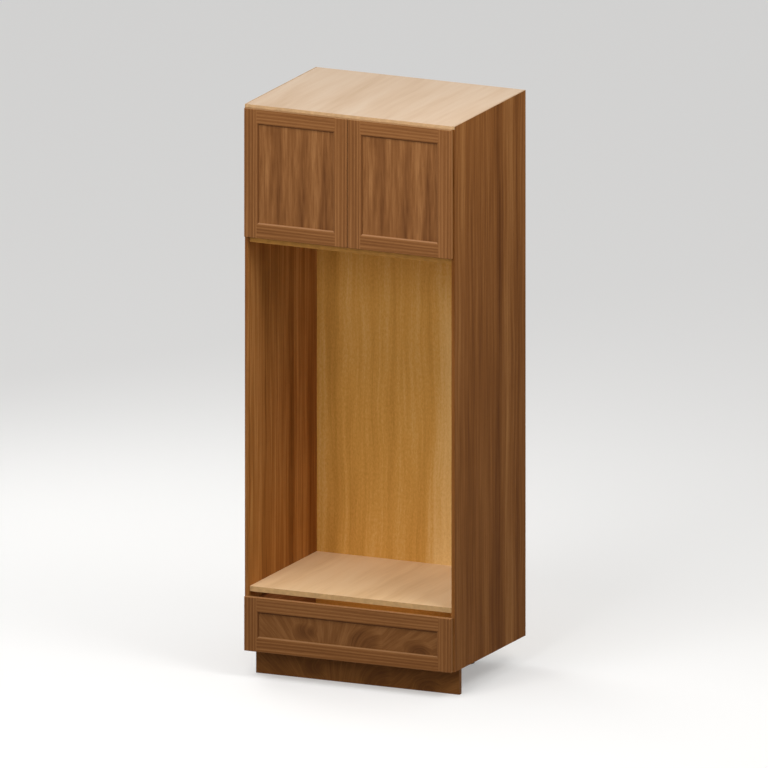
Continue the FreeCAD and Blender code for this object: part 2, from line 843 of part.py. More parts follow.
def make_socket(x, y, holes):
    """A flanged tube, open below, with a roof that stays against the bottom panel."""
    bore = d.socket_radius - d.socket_wall
    mouth = (x, y, socket_mouth)
    tube = rod(mouth, "z", 0, d.socket_length, d.socket_radius, leg_sides)
    flange = rod((x, y, flange_under), "z", 0, d.socket_flange_thickness, d.socket_flange_radius, leg_sides)
    hollow = rod(mouth, "z", -d.tool_reach, d.socket_length - d.socket_roof, bore, leg_sides)
    return cut(fuse([tube, flange]), [hollow, *holes])


def make_foot(x, y):
    """A screw foot: its collar seats on the socket's mouth when it is wound right in."""
    stem_radius = d.socket_radius - d.socket_wall - d.foot_fit
    stem_top = side_foot - d.socket_roof - d.foot_stem_room
    floor = (x, y, 0)
    pad = rod(floor, "z", 0, d.foot_pad_height, d.foot_pad_radius, leg_sides)
    collar = rod(floor, "z", d.foot_pad_height, socket_mouth, d.socket_radius, leg_sides)
    stem = rod(floor, "z", socket_mouth, stem_top, stem_radius, leg_sides)
    return fuse([pad, collar, stem])


def make_legs():
    holes = [screw_hole(seat, "z", 1, socket_bite) for seat in socket_screw_seats()]
    per_leg = len(socket_screw_turns)
    sockets = [
        make_socket(x, y, holes[i * per_leg:(i + 1) * per_leg])
        for i, (x, y) in enumerate(leg_places.values())
    ]
    node("leg_sockets", group(sockets))
    node("leg_socket_screws", group([screw(seat, "z", 1, socket_bite) for seat in socket_screw_seats()]))
    for name, (x, y) in leg_places.items():
        node(f"{name}_foot", make_foot(x, y))


def make_toe_kick():
    node("toe_kick_board", box(
        (inner_left, toe_face, d.toe_floor_gap),
        (inner_right, toe_rear, side_foot - d.toe_top_gap),
    ))
    low = socket_mouth + d.clip_lift
    high = low + d.clip_height
    grip = d.socket_radius + d.clip_fit
    centre = (leg_x, front_leg_y, low)
    ring = rod(centre, "z", 0, d.clip_height, grip + d.clip_wall, leg_sides)
    block = box((leg_x - d.clip_width / 2, toe_rear, low), (leg_x + d.clip_width / 2, front_leg_y, high))
    room = rod(centre, "z", -d.tool_reach, d.clip_height + d.tool_reach, grip, leg_sides)
    span = grip + d.clip_wall + d.tool_reach
    mouth = box(
        (leg_x - span, front_leg_y + d.clip_mouth, low - d.tool_reach),
        (leg_x + span, front_leg_y + span, high + d.tool_reach),
    )
    clip = cut(fuse([ring, block]), [room, mouth])
    node("toe_kick_clips", group([clip, mirror(clip)]))


make_carcass()
make_doors()
make_hinges()
make_runners()
make_drawer_box()
make_drawer_front()
make_legs()
make_toe_kick()
doc.recompute()

faults = [obj.Label for obj in doc.Objects if "Invalid" in obj.State or "Error" in obj.State]
for label, obj in nodes.items():
    if obj.Shape.isNull() or not obj.Shape.isValid() or not obj.Shape.Solids:
        faults.append(label)
if faults:
    raise RuntimeError("not built: " + ", ".join(faults))

os.makedirs("parts", exist_ok=True)
for label, obj in nodes.items():
    obj.Shape.exportStep(f"parts/{label}.step")
print(len(nodes), "sub-parts written")
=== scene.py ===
# Looks for a walnut kitchen tower: two doors, an open niche, one drawer and a toe-kick.
import json
import math
import bmesh
import bpy
from mathutils import Matrix, Vector


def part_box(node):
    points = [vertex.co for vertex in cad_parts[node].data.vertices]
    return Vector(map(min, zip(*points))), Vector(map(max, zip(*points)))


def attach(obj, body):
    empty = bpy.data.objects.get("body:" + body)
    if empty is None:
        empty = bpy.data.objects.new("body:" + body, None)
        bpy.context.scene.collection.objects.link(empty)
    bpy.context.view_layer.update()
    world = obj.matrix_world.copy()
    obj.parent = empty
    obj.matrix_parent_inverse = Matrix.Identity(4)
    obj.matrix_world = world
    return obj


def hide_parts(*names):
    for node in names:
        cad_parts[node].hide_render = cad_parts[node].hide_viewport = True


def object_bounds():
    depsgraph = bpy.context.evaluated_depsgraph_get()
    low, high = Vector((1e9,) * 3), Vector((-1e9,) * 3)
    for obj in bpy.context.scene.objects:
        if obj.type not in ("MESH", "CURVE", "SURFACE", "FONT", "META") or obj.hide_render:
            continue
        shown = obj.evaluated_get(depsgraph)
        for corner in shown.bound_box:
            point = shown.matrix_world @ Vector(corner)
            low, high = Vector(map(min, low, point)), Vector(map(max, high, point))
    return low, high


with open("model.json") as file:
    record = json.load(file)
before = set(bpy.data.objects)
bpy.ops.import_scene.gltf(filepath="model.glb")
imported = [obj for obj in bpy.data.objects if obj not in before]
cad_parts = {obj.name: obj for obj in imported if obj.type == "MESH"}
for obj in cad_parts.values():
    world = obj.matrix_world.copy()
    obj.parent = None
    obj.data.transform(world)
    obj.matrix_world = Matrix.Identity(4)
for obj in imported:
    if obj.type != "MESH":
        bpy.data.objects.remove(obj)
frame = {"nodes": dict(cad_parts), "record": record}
cadLow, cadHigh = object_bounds()
print("frame loaded:", len(frame["nodes"]), "nodes")


def paint(red, green, blue):
    # a colour from screen levels of 0 to 255
    def linear(level):
        share = level / 255
        return share / 12.92 if share <= 0.04045 else ((share + 0.055) / 1.055) ** 2.4
    return (linear(red), linear(green), linear(blue), 1.0)


class Finish:
    # one material with short calls for its nodes
    def __init__(self, name):
        self.material = bpy.data.materials.new(name)
        self.material.use_nodes = True
        self.tree = self.material.node_tree
        self.shader = self.tree.nodes["Principled BSDF"]

    def feed(self, socket, value):
        if isinstance(value, bpy.types.NodeSocket):
            self.tree.links.new(value, socket)
        else:
            socket.default_value = value

    def add(self, kind, inputs, **settings):
        made = self.tree.nodes.new(kind)
        for key, value in settings.items():
            setattr(made, key, value)
        for key, value in inputs.items():
            self.feed(made.inputs[key], value)
        return made

    def calc(self, operation, a, b=0.0, c=0.0):
        return self.add("ShaderNodeMath", {0: a, 1: b, 2: c}, operation=operation).outputs[0]

    def plus(self, a, b):
        return self.calc("ADD", a, b)

    def less(self, a, b):
        return self.calc("SUBTRACT", a, b)

    def times(self, a, b):
        return self.calc("MULTIPLY", a, b)

    def over(self, a, b):
        return self.calc("DIVIDE", a, b)

    def reach(self, a, b):
        return self.calc("SQRT", self.calc("MULTIPLY_ADD", a, a, self.times(b, b)))

    def nudge(self, value, share, total):
        return self.calc("MULTIPLY_ADD", self.less(value, 0.5), share, total)

    def axes(self):
        spot = self.add("ShaderNodeTexCoord", {}).outputs["Object"]
        split = self.add("ShaderNodeSeparateXYZ", {0: spot})
        return {"x": split.outputs[0], "y": split.outputs[1], "z": split.outputs[2]}

    def noise(self, x, y, z, detail=2.0):
        spot = self.add("ShaderNodeCombineXYZ", {0: x, 1: y, 2: z}).outputs[0]
        inputs = {"Vector": spot, "Scale": 1.0, "Detail": detail}
        return self.add("ShaderNodeTexNoise", inputs).outputs["Fac"]

    def speckle(self, axes, scales, detail=2.0):
        return self.noise(*(self.times(axes[a], s) for a, s in zip("xyz", scales)), detail)

    def ramp(self, value, stops):
        made = self.add("ShaderNodeValToRGB", {0: value})
        marks = made.color_ramp.elements
        while len(marks) < len(stops):
            marks.new(0.5)
        for mark, (place, colour) in zip(marks, stops):
            mark.position = place
            mark.color = colour
        return made.outputs[0]

    def cloud(self, value, low, high):
        return self.ramp(value, [(0.3, low), (0.7, high)])

    def mix(self, share, a, b):
        return self.add("ShaderNodeMix", {0: share, 6: a, 7: b}, data_type="RGBA").outputs[2]

    def bump(self, height, strength, depth):
        inputs = {"Strength": strength, "Distance": depth, "Height": height}
        self.feed(self.shader.inputs["Normal"], self.add("ShaderNodeBump", inputs).outputs[0])

    def surface(self, colour, roughness, **others):
        self.feed(self.shader.inputs["Base Color"], colour)
        self.feed(self.shader.inputs["Roughness"], roughness)
        for key, value in others.items():
            self.feed(self.shader.inputs[key], value)


def grey(level):
    return (level, level, level, 1.0)


def dimmed(colour, share):
    return (*(level * share for level in colour[:3]), 1.0)


# Wood: tone streaks of three widths, single bands, stripes, crotch figure and pores.
grainSpec = {
    "leastSpread": 0.3, "patchGain": 1.6, "patchBase": 0.2, "drift": (7.0, 2.2), "seedStep": 3,
    "eyeSway": (15, 17), "eyeLift": (13, 15), "eyeStray": 0.03, "eyeReach": 2.0, "swirlFall": -0.6,
    "poreStops": (0.30, 0.42), "edgeDim": 0.8, "roughGain": 0.16,
    "fineRelief": 0.4, "relief": 0.22, "reliefDepth": 0.0004,
}


def bandTone(wood, across, along, spec, tone):
    # single streaks, dark where share is below zero. A taper makes them wider and stronger at the foot.
    for number, (place, width, taper, share) in enumerate(spec["bands"]):
        spread = wood.calc("MULTIPLY_ADD", along, -taper, 1.0)
        spread = wood.calc("MAXIMUM", spread, grainSpec["leastSpread"])
        side = wood.over(wood.less(across, place), wood.times(spread, width))
        hump = wood.times(wood.calc("EXPONENT", wood.times(wood.times(side, side), -1.0)), spread)
        patch = wood.noise(0.0, spec["seed"] + number, wood.over(along, spec["patch"]))
        patch = wood.calc("MULTIPLY_ADD", patch, grainSpec["patchGain"], grainSpec["patchBase"])
        tone = wood.calc("MULTIPLY_ADD", wood.times(hump, patch), share, tone)
    return tone


def eyeDistance(wood, across, along, spec):
    # how far the nearest crotch eye is, in sizes of that eye and at most one
    eyes = spec["eyes"]
    wide, high = grainSpec["eyeSway"]
    drift = wood.noise(wood.times(across, wide), spec["seed"], wood.times(along, high))
    swayed = wood.nudge(drift, grainSpec["eyeStray"], across)
    wide, high = grainSpec["eyeLift"]
    drift = wood.noise(wood.times(across, wide), wood.times(along, high), spec["seed"])
    lifted = wood.nudge(drift, grainSpec["eyeStray"], along)
    nearest = 1.0
    for x, z, size in eyes["places"]:
        distance = wood.reach(wood.less(swayed, x), wood.times(wood.less(lifted, z), eyes["squat"]))
        nearest = wood.calc("MINIMUM", nearest, wood.over(distance, size))
    return nearest


def eyeTone(wood, nearest, spec, tone):
    # dark in each eye, with a light arch round it
    eyes = spec["eyes"]
    reach = grainSpec["eyeReach"]
    stops = [(place / reach, grey(level)) for place, level in eyes["shades"]]
    arch = wood.ramp(wood.times(nearest, 1 / reach), stops)
    return wood.nudge(arch, eyes["share"], tone)


def beyond(wood, axes, planes):
    # one at a point that is past every plane, otherwise nothing. A plane's last number is how far past
    # it the share grows from nothing to one.
    share = 1.0
    for axis, place, soft in planes:
        inputs = {"Value": axes[axis], "From Min": place, "From Max": place + soft}
        share = wood.times(wood.add("ShaderNodeMapRange", inputs).outputs[0], share)
    return share


def makeWood(name, spec):
    wood = Finish(name)
    axes = wood.axes()
    through = axes[({"x", "y", "z"} - {spec["across"], spec["along"]}).pop()]
    along = wood.less(axes[spec["along"]], spec["middle"][1])
    across = wood.less(axes[spec["across"]], spec["middle"][0])
    if spec.get("eyes"):  # rays that spread from a root below the board and bend round the eyes
        nearest = eyeDistance(wood, across, along, spec)
        swirl = wood.calc("EXPONENT", wood.times(wood.times(nearest, nearest), grainSpec["swirlFall"]))
        x, z = spec["eyes"]["root"]
        side = wood.less(across, x)
        rise = wood.less(along, z)
        along = wood.reach(side, rise)
        fan = wood.times(wood.calc("ARCTAN2", side, rise), abs(z))
        across = wood.calc("MULTIPLY_ADD", swirl, spec["eyes"]["swirl"], fan)
    wide, high = grainSpec["drift"]
    drift = wood.noise(wood.times(across, wide), spec["seed"], wood.times(along, high))
    across = wood.nudge(drift, spec["sway"], across)
    layers = {}
    tone = 0.5
    for number, layer in enumerate(("broad", "middling", "fine", "pores", "flecks")):
        if layer not in spec:
            continue
        width, length, share = spec[layer]
        depth = wood.plus(wood.over(through, width), spec["seed"] + grainSpec["seedStep"] * number)
        layers[layer] = wood.noise(wood.over(across, width), depth, wood.over(along, length))
        if layer != "pores":
            tone = wood.nudge(layers[layer], share, tone)
    if spec.get("bands"):
        tone = bandTone(wood, across, along, spec, tone)
    if spec.get("eyes"):
        tone = eyeTone(wood, nearest, spec, tone)
    if spec.get("stripe"):  # straight stripes of the frame members
        pitch, stray, share = spec["stripe"]
        turn = wood.times(across, 2 * math.pi / pitch)
        wave = wood.calc("SINE", wood.calc("MULTIPLY_ADD", layers["broad"], stray, turn))
        line = wood.times(wave, wood.times(wave, wave))
        tone = wood.calc("MULTIPLY_ADD", line, share, tone)
    colour = wood.ramp(tone, [(0.0, spec["dark"]), (0.5, spec["mid"]), (1.0, spec["light"])])
    dots = wood.ramp(layers["pores"], list(zip(grainSpec["poreStops"], (grey(1.0), grey(0.0)))))
    colour = wood.mix(wood.times(dots, spec["pores"][2]), colour, spec["dark"])
    for planes, edge in spec.get("edges", []):  # beyond these planes an edge colour shows: edge bands on the carcass, painted highlight and painted shade on the fronts' edges
        shade = wood.cloud(layers["middling"], dimmed(edge, grainSpec["edgeDim"]), edge)
        colour = wood.mix(beyond(wood, axes, planes), colour, shade)
    for planes, gain in spec.get("lightShadeGains", []):  # beyond these planes the same grain times a gain, as painted light and painted shade
        inputs = {0: beyond(wood, axes, planes), 6: colour, 7: gain}
        colour = wood.add("ShaderNodeMix", inputs, data_type="RGBA", blend_type="MULTIPLY").outputs[2]
    rough = wood.calc("MULTIPLY_ADD", layers["fine"], grainSpec["roughGain"], spec["rough"])
    wood.surface(colour, rough, **{"Specular IOR Level": spec["gloss"]})
    height = wood.nudge(layers["fine"], grainSpec["fineRelief"], layers["pores"])
    wood.bump(height, grainSpec["relief"], grainSpec["reliefDepth"])
    return wood.material


# Layers are (width, length, share), bands (place, width, taper, share), a stripe (pitch, stray, share).
walnut = {
    "dark": paint(84, 46, 17), "mid": paint(128, 82, 43), "light": paint(163, 114, 69),
    "middle": (0.0, 0.0), "seed": 1.0, "sway": 0.012, "patch": 0.3, "rough": 0.5, "gloss": 0.1,
    "broad": (0.034, 1.1, 0.7), "middling": (0.008, 0.7, 0.5), "fine": (0.0024, 0.3, 0.4),
    "pores": (0.0008, 0.03, 0.4),
}
maple = walnut | {
    "dark": paint(186, 150, 112), "mid": paint(212, 184, 155), "light": paint(225, 205, 182),
    "sway": 0.05, "rough": 0.46, "gloss": 0.2,
    "broad": (0.09, 0.6, 0.7), "middling": (0.02, 0.3, 0.35), "fine": (0.003, 0.2, 0.25),
    "pores": (0.001, 0.02, 0.12),
}


def middleOf(node, across, along):
    low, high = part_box(node)
    index = {"x": 0, "y": 1, "z": 2}
    return tuple((low[index[a]] + high[index[a]]) / 2 for a in (across, along))


def dress(material, *nodes):
    for name in nodes:
        piece = frame["nodes"][name]
        if not piece.material_slots:
            piece.data.materials.append(material)
        for slot in piece.material_slots:
            slot.material = material


# Frame members: straight stripes, upright on stiles and level on rails. Painted shade darkens the inner
# edges under the top rail and along the left stile, and painted highlight lightens the other inner
# edges.
frameMember = walnut | {"stripe": (0.0125, 7.0, 0.18), "broad": (0.034, 1.1, 0.4), "sway": 0.004}
skin = 0.0004  # how deep a face's own finish goes, and how near two places count as one
crisp = 0.00001  # how soon a finish changes at a plane that isn't soft
# painted highlight on the top edges, bottom bead and right inner edges, painted shade on the left inner
# edges and under the top rail
doorHighlightShade = {
    "top": paint(170, 128, 86), "bottom": paint(158, 113, 75), "right": paint(142, 94, 54),
    "left": paint(112, 69, 34), "under": paint(94, 55, 25),
}
# the drawer front's own painted highlights on its top edge and bottom bead
drawerHighlightShade = doorHighlightShade | {"top": paint(170, 122, 78), "bottom": paint(148, 105, 66)}
fronts = {
    "left_door": {"left": "hinge_stile", "right": "lock_stile", "paintedLightEdges": doorHighlightShade},
    "right_door": {"left": "lock_stile", "right": "hinge_stile", "paintedLightEdges": doorHighlightShade},
    "drawer_front": {"left": "left_stile", "right": "right_stile", "paintedLightEdges": drawerHighlightShade},
}
beadDepth = 0.0045
gapPaintedLight = paint(178, 129, 82)  # upright edges are painted paler than the faces, as painted light against the shade in the gaps, most where the doors meet
# the outer upright edges beside the carcass, painted paler as painted light against the shade in the
# gap
outerEdgePaintedLight = paint(158, 106, 60)


def innerEdges(node, place, paintedLightEdges):
    # the moulded inner edge of a member, by where it is in the frame, with painted shade on left and
    # top members and painted highlight on right and bottom ones
    low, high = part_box(node)
    return {
        "left": ([("x", high[0] - beadDepth, crisp)], paintedLightEdges["left"]),
        "right": ([("x", low[0] + beadDepth, -crisp)], paintedLightEdges["right"]),
        "top": ([("z", low[2] + beadDepth, -crisp)], paintedLightEdges["under"]),
        "bottom": ([("z", high[2] - beadDepth, crisp)], paintedLightEdges["bottom"]),
    }[place]


for front, spec in fronts.items():
    members = {
        "left": spec["left"], "right": spec["right"], "top": "top_rail", "bottom": "bottom_rail",
    }
    # the fronts' top edges: a paler edge with a painted highlight from above
    railTop = ([("z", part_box(f"{front}_top_rail")[1][2] - skin, crisp)], spec["paintedLightEdges"]["top"])
    for number, (place, member) in enumerate(members.items()):
        node = f"{front}_{member}"
        upright = place in ("left", "right")
        lie = {"across": "x", "along": "z"} if upright else {"across": "z", "along": "x"}
        edges = [innerEdges(node, place, spec["paintedLightEdges"])]
        if place != "bottom":
            edges.append(railTop)
        # upright members' outer edges get painted light against the shade in the gaps
        if upright:
            low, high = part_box(node)
            outer = ("x", high[0] - skin, crisp) if place == "right" else ("x", low[0] + skin, -crisp)
            edges.append(([outer], gapPaintedLight if member == "lock_stile" else outerEdgePaintedLight))
        grain = frameMember | lie | {
            "middle": middleOf(node, lie["across"], lie["along"]), "seed": 2.0 + 2 * number,
            "edges": edges,
        }
        dress(makeWood(f"walnut_{node}", grain), node)
print("frames dressed")

# Panels: upright bands in the doors, crotch figure in the drawer front and the toe-kick.
doorPanel = walnut | {
    "across": "x", "along": "z", "seed": 11.0, "patch": 0.12, "broad": (0.022, 0.3, 0.5),
    "middling": (0.01, 0.13, 0.75), "fine": (0.0034, 0.14, 0.45),
    "bands": [
        (-0.125, 0.022, 0.0, 0.1), (-0.072, 0.024, 1.6, -0.16), (-0.040, 0.009, 0.0, 0.14),
        (0.028, 0.019, 1.0, -0.15), (0.070, 0.022, 0.0, 0.12), (0.116, 0.016, 2.6, -0.2),
    ],
}
for side in ("left", "right"):
    node = f"{side}_door_panel"
    dress(makeWood(f"walnut_{node}", doorPanel | {"middle": middleOf(node, "x", "z")}), node)
crotch = walnut | {
    "dark": paint(76, 41, 14), "mid": paint(118, 75, 38), "light": paint(153, 106, 63),
    "across": "x", "along": "z", "seed": 17.0, "sway": 0.02,
    "broad": (0.016, 0.14, 0.6), "middling": (0.006, 0.1, 0.45),
    "eyes": {
        "places": [(-0.177, -0.012, 0.055), (0.065, -0.02, 0.075), (0.272, -0.03, 0.06)],
        "squat": 1.25, "share": 0.75, "root": (-0.092, -0.24), "swirl": 0.055,
        "shades": [(0.0, 0.2), (0.55, 0.28), (0.95, 0.6), (1.15, 0.42)],
    },
}
# the toe-kick's tones are a little darker: painted shade for its recess under the drawer
toePaintedShade = {"dark": paint(74, 41, 13), "mid": paint(117, 73, 33), "light": paint(150, 100, 52)}
for node, tone in (("drawer_front_panel", {}), ("toe_kick_board", toePaintedShade)):
    spec = crotch | tone | {"middle": middleOf(node, "x", "z")}
    dress(makeWood(f"walnut_{node}", spec), node)
print("panels dressed")

# Carcass: walnut sides with a light top edge, maple decks with darker edge bands, yellow maple back.
sides = {
    "left": {"seed": 23.0, "inner": ("x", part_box("left_side_panel")[1][0] - skin, crisp)},
    "right": {"seed": 27.0, "inner": ("x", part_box("right_side_panel")[0][0] + skin, -crisp)},
}
# Inside faces get painted light, most of all deep in the head of the niche, and painted shade at its
# foot.
insidePaintedLight = (1.62, 1.88, 2.02, 1.0)
nicheHeadPaintedLight = (1.22, 1.42, 1.6, 1.0)
nicheFootPaintedShade = (0.95, 0.92, 0.8, 1.0)
headZone = [("z", 1.0, 0.5), ("y", -0.27, 0.25), ("z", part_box("upper_shelf")[0][2], -crisp)]
footZone = [("z", 0.9, -0.5)]
topEdge = paint(197, 161, 118)  # one light edge band runs across the top and over both sides
topFace = ("z", cadHigh[2] - skin, crisp)
topZone = ("z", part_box("left_door_top_rail")[1][2], crisp)
sideFront = ("y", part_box("left_side_panel")[0][1] + skin, -crisp)
for side, spec in sides.items():
    node = f"{side}_side_panel"
    board = walnut | {
        "dark": paint(89, 48, 15), "mid": paint(133, 83, 40), "light": paint(170, 118, 68),
        "across": "y", "along": "z", "middle": (0.0, 1.1), "seed": spec["seed"], "sway": 0.03,
        "patch": 0.17, "gloss": 0.03,
        "broad": (0.05, 1.0, 0.7), "middling": (0.014, 0.6, 0.85), "fine": (0.003, 0.22, 0.5),
        "edges": [([topFace], paint(206, 174, 141)), ([sideFront, topZone], topEdge)],
        # painted light on the inner faces and the niche's head, painted shade at the niche's foot
        "lightShadeGains": [
            ([spec["inner"]], insidePaintedLight), ([spec["inner"], *headZone], nicheHeadPaintedLight),
            ([spec["inner"], *footZone], nicheFootPaintedShade),
        ],
        "bands": [
            (-0.22, 0.022, 0.0, 0.12), (-0.145, 0.04, 0.0, -0.12), (0.085, 0.025, 0.0, -0.2),
            (0.17, 0.045, 0.0, 0.14), (0.245, 0.018, 0.0, -0.18),
        ],
    }
    dress(makeWood(f"walnut_{node}", board), node)
warmMaple = {"dark": paint(212, 170, 118), "mid": paint(240, 206, 160), "light": paint(248, 220, 182)}
decks = {
    "top_panel": {"seed": 31.0, "tone": {}, "edge": topEdge},
    # the upper shelf's edge band is darker still than the other edge bands, with painted shade from the
    # doors over it
    "upper_shelf": {"seed": 32.0, "tone": warmMaple | {"gloss": 0.05}, "edge": paint(176, 124, 60)},
    "niche_shelf": {"seed": 33.0, "tone": warmMaple, "edge": paint(200, 161, 110)},
    "bottom_panel": {"seed": 34.0, "tone": warmMaple, "edge": topEdge},
}
for node, spec in decks.items():
    deckFront = ("y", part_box(node)[0][1] + skin, -crisp)
    deck = maple | spec["tone"] | {
        "across": "x", "along": "y", "seed": spec["seed"], "edges": [([deckFront], spec["edge"])],
    }
    dress(makeWood(f"maple_{node}", deck), node)
backPanel = maple | {
    "dark": paint(168, 116, 44), "mid": paint(206, 153, 74), "light": paint(230, 190, 124),
    "across": "x", "along": "z", "middle": (0.0, 1.0), "seed": 41.0, "patch": 0.6, "gloss": 0.08,
    "broad": (0.05, 1.1, 0.8), "middling": (0.011, 0.5, 0.4), "pores": (0.0016, 0.008, 0.3),
    "flecks": (0.006, 0.012, 0.5),
    # the last band, a pale streak at the seen right end of the back that grows towards the foot, is
    # painted light
    "bands": [(-0.345, 0.026, 0.3, -0.2), (-0.1, 0.02, 0.3, -0.1), (0.112, 0.03, 1.3, 0.25)],
}
dress(makeWood("maple_back_panel", backPanel), "back_panel")
nailer = maple | {"across": "z", "along": "x", "seed": 43.0}
dress(makeWood("maple_nailers", nailer), "top_nailer", "bottom_nailer")
for node in ("drawer_left_side", "drawer_right_side"):
    spec = walnut | {"across": "z", "along": "y", "middle": middleOf(node, "z", "y"), "seed": 47.0}
    dress(makeWood(f"walnut_{node}", spec), node)
boxBoard = backPanel | {"along": "x", "middle": (0.0, 0.0), "bands": []}
boxEnds = boxBoard | {"across": "z", "seed": 53.0}
dress(makeWood("maple_drawer_ends", boxEnds), "drawer_box_front", "drawer_box_back")
boxBottom = boxBoard | {"across": "y", "seed": 55.0}
dress(makeWood("maple_drawer_bottom", boxBottom), "drawer_bottom")
print("carcass and drawer box dressed")

# Metal and plastic.
steelSpec = {"detail": 3.0, "stain": 60.0, "roughGain": 0.2, "relief": 0.12, "reliefDepth": 0.0002}
mouldedSpec = {
    "grit": 1400.0, "cloud": 35.0, "rough": 0.45, "roughGain": 0.15, "relief": 0.2,
    "reliefDepth": 0.0002,
}


def makeSteel(name, spec):
    steel = Finish(name)
    axes = steel.axes()
    scratch = steel.speckle(axes, spec["brush"], steelSpec["detail"])
    stain = steel.speckle(axes, [steelSpec["stain"]] * 3)
    colour = steel.cloud(stain, spec["dull"], spec["bright"])
    rough = steel.calc("MULTIPLY_ADD", scratch, steelSpec["roughGain"], spec["rough"])
    steel.surface(colour, rough, Metallic=1.0)
    steel.bump(scratch, steelSpec["relief"], steelSpec["reliefDepth"])
    return steel.material


def makeMoulded(name, spec):
    moulded = Finish(name)
    axes = moulded.axes()
    grit = moulded.speckle(axes, [mouldedSpec["grit"]] * 3)
    cloud = moulded.speckle(axes, [mouldedSpec["cloud"]] * 3)
    colour = moulded.cloud(cloud, spec["dark"], spec["light"])
    rough = moulded.calc("MULTIPLY_ADD", grit, mouldedSpec["roughGain"], mouldedSpec["rough"])
    moulded.surface(colour, rough)
    moulded.bump(grit, mouldedSpec["relief"], mouldedSpec["reliefDepth"])
    return moulded.material


steels = {
    "nickel_steel": {
        "brush": (900, 900, 90), "rough": 0.2,
        "dull": paint(176, 173, 166), "bright": paint(206, 203, 197),
    },
    "zinc_steel": {
        "brush": (900, 40, 900), "rough": 0.34,
        "dull": paint(172, 177, 182), "bright": paint(190, 195, 200),
    },
    "screw_steel": {
        "brush": (1500, 1500, 1500), "rough": 0.26,
        "dull": paint(152, 152, 150), "bright": paint(186, 186, 184),
    },
}
finishes = {slot: makeSteel(slot, spec) for slot, spec in steels.items()}
blackPlastic = {"dark": paint(26, 26, 27), "light": paint(38, 38, 39)}
finishes["black_plastic"] = makeMoulded("black_plastic", blackPlastic)
slotOf = {row["node"]: row["material_slot"] for row in frame["record"]["subparts"]}
bodies = frame["record"]["behaviour"]["bodies"]
bodyOf = {node: body for body, nodes in bodies.items() for node in nodes}
for node, slot in slotOf.items():
    if slot in finishes:
        dress(finishes[slot], node)
print("metal and plastic dressed")

# Shapes: help for the pieces that stand for the frame's plain hardware. Angles are in degrees.
shapeSpec = {"merge": 1e-6, "digits": 5, "arcSteps": 4, "edgeSegments": 2, "smooth": 32}


def looseParts(node):
    # the point lists of a node's separate solids, in the mesh's own order
    whole = bmesh.new()
    whole.from_mesh(frame["nodes"][node].data)
    bmesh.ops.remove_doubles(whole, verts=whole.verts[:], dist=shapeSpec["merge"])
    whole.verts.index_update()
    seen = set()
    parts = []
    for first in whole.verts:
        if first.index in seen:
            continue
        seen.add(first.index)
        part = [first]
        for vert in part:
            for edge in vert.link_edges:
                other = edge.other_vert(vert)
                if other.index not in seen:
                    seen.add(other.index)
                    part.append(other)
        parts.append([vert.co.copy() for vert in part])
    whole.free()
    return parts


def extents(points, axes):
    return [(min(p[i] for p in points), max(p[i] for p in points)) for i in axes]


def boxOf(points):
    low, high = zip(*extents(points, (0, 1, 2)))
    return Vector(low), Vector(high)


def levelsOf(points, axis):
    return sorted({round(p[axis], shapeSpec["digits"]) for p in points})


def quarterArc():
    steps = shapeSpec["arcSteps"]
    return [math.radians(90 * number / steps) for number in range(steps + 1)]


def ringOf(mesh, radius, height, segments):
    made = bmesh.ops.create_circle(mesh, radius=radius, segments=segments)
    bmesh.ops.translate(mesh, verts=made["verts"], vec=(0, 0, height))
    return list({edge for vert in made["verts"] for edge in vert.link_edges})


def faceOut(mesh):
    bmesh.ops.recalc_face_normals(mesh, faces=mesh.faces[:])


def spunForm(mesh, profile, centre, segments):
    verts = [mesh.verts.new((centre.x + r, centre.y, z)) for r, z in profile]
    edges = [mesh.edges.new(pair) for pair in zip(verts, verts[1:])]
    bmesh.ops.spin(
        mesh, geom=verts + edges, cent=(centre.x, centre.y, 0), axis=(0, 0, 1),
        angle=2 * math.pi, steps=segments, use_merge=True,
    )
    bmesh.ops.remove_doubles(mesh, verts=mesh.verts[:], dist=shapeSpec["merge"])
    faceOut(mesh)


def vertsIn(geometry):
    return [part for part in geometry if isinstance(part, bmesh.types.BMVert)]


def extrude(mesh, faces, move):
    lifted = vertsIn(bmesh.ops.extrude_face_region(mesh, geom=faces)["geom"])
    bmesh.ops.translate(mesh, verts=lifted, vec=move)
    return lifted


def roundEdges(mesh, edges, offset, segments=shapeSpec["edgeSegments"], clamp=False):
    bmesh.ops.bevel(
        mesh, geom=edges, offset=offset, affect="EDGES", segments=segments, profile=0.5, material=-1,
        clamp_overlap=clamp,
    )


def join(mesh, one, place=None):
    # adds one shape, at its place, to a mesh of many
    if place is not None:
        bmesh.ops.transform(one, matrix=place, verts=one.verts[:])
    built = bpy.data.meshes.new("one_shape")
    one.to_mesh(built)
    one.free()
    mesh.from_mesh(built)
    bpy.data.meshes.remove(built)


def addPiece(node, ending, mesh, smooth=shapeSpec["smooth"]):
    # a piece that stands for a node, on the node's body and with its finish
    name = f"{node}_{ending}"
    data = bpy.data.meshes.new(name)
    mesh.to_mesh(data)
    mesh.free()
    data.materials.append(finishes[slotOf[node]])
    data.shade_smooth()
    data.set_sharp_from_angle(angle=math.radians(smooth))
    piece = bpy.data.objects.new(name, data)
    bpy.context.scene.collection.objects.link(piece)
    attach(piece, bodyOf[node])
    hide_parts(node)


# Screws: pan heads with a cross recess, standing where the frame's plain ones stand.
screwSpec = {
    "segments": 24, "headRadius": 0.0034, "headHeight": 0.0015, "shankRadius": 0.0016,
    "threadDepth": 0.0004, "threadPitch": 0.0016, "tip": 0.003, "tipRadius": 0.0003,
    "crown": [(1.0, 1.0), (1.0, 0.55), (0.86, 0.18), (0.62, 0.0)],  # in shares of the head's size
    "slotReach": 0.0017, "slotHalf": 0.00042, "slotDepth": 0.0009,
}


